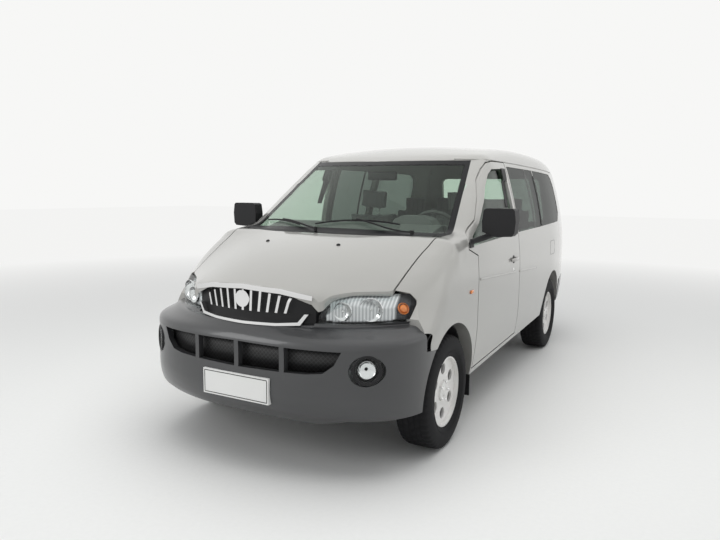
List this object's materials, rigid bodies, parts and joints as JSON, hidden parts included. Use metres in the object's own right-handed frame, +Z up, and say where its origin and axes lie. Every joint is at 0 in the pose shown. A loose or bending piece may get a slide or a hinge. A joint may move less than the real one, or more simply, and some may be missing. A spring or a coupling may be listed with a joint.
{
  "type": "short-nosed minivan with one sliding side door",
  "caption": "Short-nosed silver minivan with a dark two-tone bumper, opening hood, front doors and tailgate, steered front wheels and a furnished cabin.",
  "frame": {"origin": "on the ground under the middle of the vehicle's box", "axes": "+Z up, -Y forward, +X towards the vehicle's left"},
  "size_m": [2.236, 4.6949, 1.9095],
  "materials": {
    "body_paint": "silver metallic paint under clear coat",
    "bumper_paint": "dark grey metallic paint on moulded plastic",
    "glass": "green tinted safety glass",
    "black_plastic": "grained black plastic",
    "cabin_plastic": "grained dark grey plastic",
    "chrome": "polished chrome plating",
    "chassis_steel": "black underbody coating",
    "cast_metal": "cast, dull",
    "lamp_glass": "clear moulded lamp cover",
    "lamp_red": "red moulded lens",
    "plate": "blank white plate",
    "seat_cloth": "woven dark grey cloth",
    "wheel_paint": "bright silver wheel paint",
    "tyre": "moulded black rubber"
  },
  "bodies": {
    "root": {"bench_backs": "seat_cloth", "bench_cushions": "seat_cloth", "body_side_left": "body_paint", "body_side_right": "body_paint", "bulkhead": "chassis_steel", "cowl_panel": "black_plastic", "dashboard": "cabin_plastic", "door_hinges": "chassis_steel", "engine": "cast_metal", "exhaust": "chassis_steel", "fenders": "body_paint", "floor_pan": "chassis_steel", "front_arch_liners": "black_plastic", "front_bumper": "bumper_paint", "front_carrier": "black_plastic", "front_lamps": "lamp_glass", "front_plate": "plate", "front_seat_backs": "seat_cloth", "front_seat_cushions": "seat_cloth", "front_subframe": "chassis_steel", "front_suspension": "chassis_steel", "fuel_tank": "chassis_steel", "grille_chrome": "chrome", "mudflaps": "black_plastic", "propshaft": "chassis_steel", "rear_axle": "chassis_steel", "rear_bumper": "bumper_paint", "rear_suspension": "chassis_steel", "roof_panel": "body_paint", "seat_frames": "black_plastic", "side_windows": "glass", "sliding_door_right": "body_paint", "spare_wheel": "tyre", "tail_lamps": "lamp_red", "windscreen": "glass", "wipers": "black_plastic"},
    "hood": {"hood": "body_paint", "hood_moulding": "chrome"},
    "door_left": {"door_front_left": "body_paint", "door_glass_left": "glass", "mirror_left": "black_plastic"},
    "door_right": {"door_front_right": "body_paint", "door_glass_right": "glass", "mirror_right": "black_plastic"},
    "tailgate": {"tailgate": "body_paint", "tailgate_glass": "glass", "rear_plate": "plate"},
    "knuckle_left": {"knuckle_left": "chassis_steel"},
    "knuckle_right": {"knuckle_right": "chassis_steel"},
    "wheel_front_left": {"wheel_front_left": "wheel_paint", "tyre_front_left": "tyre"},
    "wheel_front_right": {"wheel_front_right": "wheel_paint", "tyre_front_right": "tyre"},
    "wheel_rear_left": {"wheel_rear_left": "wheel_paint", "tyre_rear_left": "tyre"},
    "wheel_rear_right": {"wheel_rear_right": "wheel_paint", "tyre_rear_right": "tyre"},
    "steering_wheel": {"steering_wheel": "cabin_plastic"}
  },
  "joints": [
    {"name": "hood_hinge", "type": "hinge", "parent": "root", "child": "hood", "pos_m": [0, -1.3175, 1.226], "axis": [-1, 0, 0], "range_deg": [0, 50]},
    {"name": "door_left_hinge", "type": "hinge", "parent": "root", "child": "door_left", "pos_m": [0.89, -0.9875, 0.8], "axis": [0, 0, -1], "range_deg": [0, 65]},
    {"name": "door_right_hinge", "type": "hinge", "parent": "root", "child": "door_right", "pos_m": [-0.89, -0.9875, 0.8], "axis": [0, 0, 1], "range_deg": [0, 65]},
    {"name": "tailgate_hinge", "type": "hinge", "parent": "root", "child": "tailgate", "pos_m": [0, 1.9775, 1.78], "axis": [1, 0, 0], "range_deg": [0, 85]},
    {"name": "steer_left", "type": "hinge", "parent": "root", "child": "knuckle_left", "pos_m": [0.7, -1.4775, 0.338], "axis": [0, 0, 1], "range_deg": [-33, 33]},
    {"name": "steer_right", "type": "hinge", "parent": "root", "child": "knuckle_right", "pos_m": [-0.7, -1.4775, 0.338], "axis": [0, 0, 1], "range_deg": [-33, 33]},
    {"name": "steering_wheel_turn", "type": "hinge", "parent": "root", "child": "steering_wheel", "pos_m": [0.4, -0.4925, 1.21], "axis": [0, 0.8829, 0.4695], "range_deg": [-470, 470]},
    {"name": "roll_front_left", "type": "hinge", "parent": "knuckle_left", "child": "wheel_front_left", "pos_m": [0.785, -1.4775, 0.338], "axis": [1, 0, 0], "continuous": true},
    {"name": "roll_front_right", "type": "hinge", "parent": "knuckle_right", "child": "wheel_front_right", "pos_m": [-0.785, -1.4775, 0.338], "axis": [1, 0, 0], "continuous": true},
    {"name": "roll_rear_left", "type": "hinge", "parent": "root", "child": "wheel_rear_left", "pos_m": [0.775, 1.3325, 0.338], "axis": [1, 0, 0], "continuous": true},
    {"name": "roll_rear_right", "type": "hinge", "parent": "root", "child": "wheel_rear_right", "pos_m": [-0.775, 1.3325, 0.338], "axis": [1, 0, 0], "continuous": true}
  ],
  "couplings": [
    {"joint": "steer_right", "follows": "steer_left", "ratio": 1},
    {"joint": "steering_wheel_turn", "follows": "steer_left", "ratio": -14}
  ]
}
